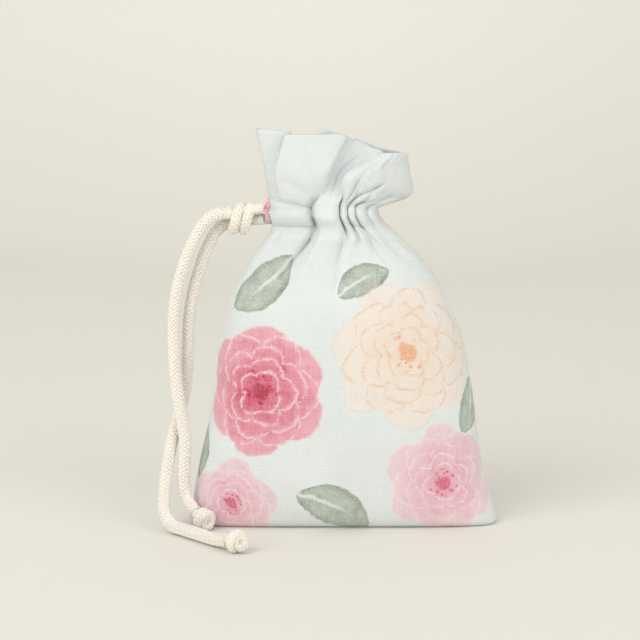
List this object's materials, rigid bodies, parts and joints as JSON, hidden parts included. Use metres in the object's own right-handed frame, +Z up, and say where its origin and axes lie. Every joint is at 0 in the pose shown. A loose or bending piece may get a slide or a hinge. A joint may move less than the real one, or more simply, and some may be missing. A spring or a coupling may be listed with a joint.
{
  "type": "drawstring pouch",
  "caption": "Small kinchaku drawstring pouch of printed cotton cloth, neck gathered by a cotton cord with knotted tails.",
  "frame": {"origin": "middle of the pouch's base, on the surface it stands on", "axes": "+Z up along the pouch's height, +X to the right across its width, -Y out of the front panel"},
  "size_m": [0.1248, 0.0769, 0.1461],
  "materials": {
    "printed_cloth": "matt plain-weave cotton and linen, printed",
    "cotton_cord": "matt natural knitted cotton"
  },
  "bodies": {
    "root": {"front_panel": "printed_cloth", "back_panel": "printed_cloth", "drawstring_in_casing": "cotton_cord", "exit_knot": "cotton_cord", "long_tail": "cotton_cord", "short_tail": "cotton_cord", "long_tail_knot": "cotton_cord", "short_tail_knot": "cotton_cord"}
  },
  "joints": []
}
